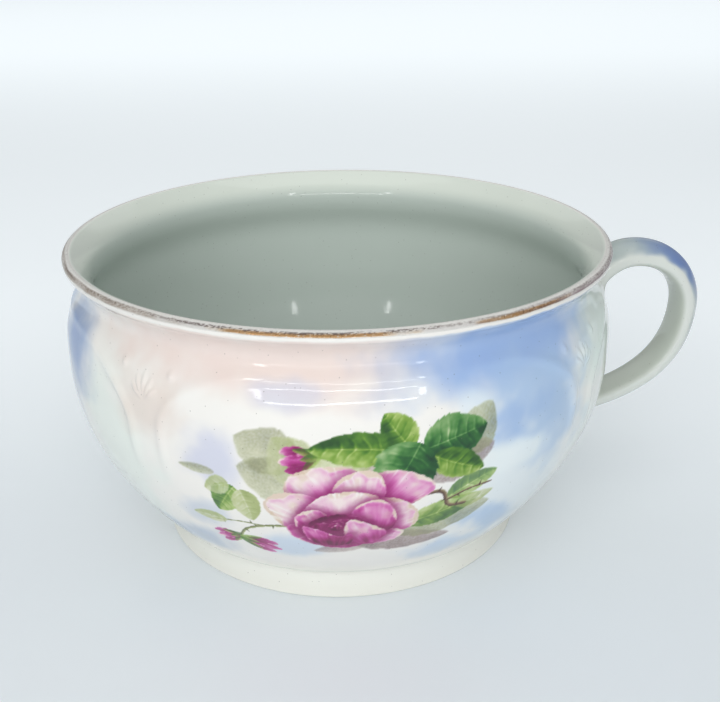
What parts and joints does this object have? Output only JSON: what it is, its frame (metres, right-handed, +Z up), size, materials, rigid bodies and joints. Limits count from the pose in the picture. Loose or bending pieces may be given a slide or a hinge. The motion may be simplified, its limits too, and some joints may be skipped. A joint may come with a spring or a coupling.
{
  "type": "chamber pot",
  "caption": "Glazed earthenware chamber pot: full belly on a flared foot ring, rolled lip with a worn gilt line, moulded panels with shell sprigs, and one strap handle luted to the side.",
  "frame": {"origin": "On the pot's axis, in the plane that the foot ring stands on", "axes": "+X out through the handle, +Z up along the pot's axis, -Y towards the front panel that the picture shows"},
  "size_m": [0.2848, 0.233, 0.131],
  "materials": {
    "body_glaze": "glossy clear glaze over white earthenware, airbrushed in blue and pink",
    "foot_glaze": "glossy cream glaze, not decorated",
    "handle_glaze": "glossy pale green-white glaze with airbrushed blue",
    "gilt": "worn fired-on gilding"
  },
  "bodies": {
    "root": {"bowl": "body_glaze", "foot_ring": "foot_glaze", "rim_lip": "body_glaze", "gilt_line": "gilt", "handle_strap": "handle_glaze", "upper_slip_joint": "handle_glaze", "lower_slip_joint": "handle_glaze", "handle_panel_bead": "body_glaze", "back_panel_bead": "body_glaze", "left_panel_bead": "body_glaze", "front_panel_bead": "body_glaze", "back_right_shell": "body_glaze", "back_left_shell": "body_glaze", "front_left_shell": "body_glaze", "front_right_shell": "body_glaze"}
  },
  "joints": []
}
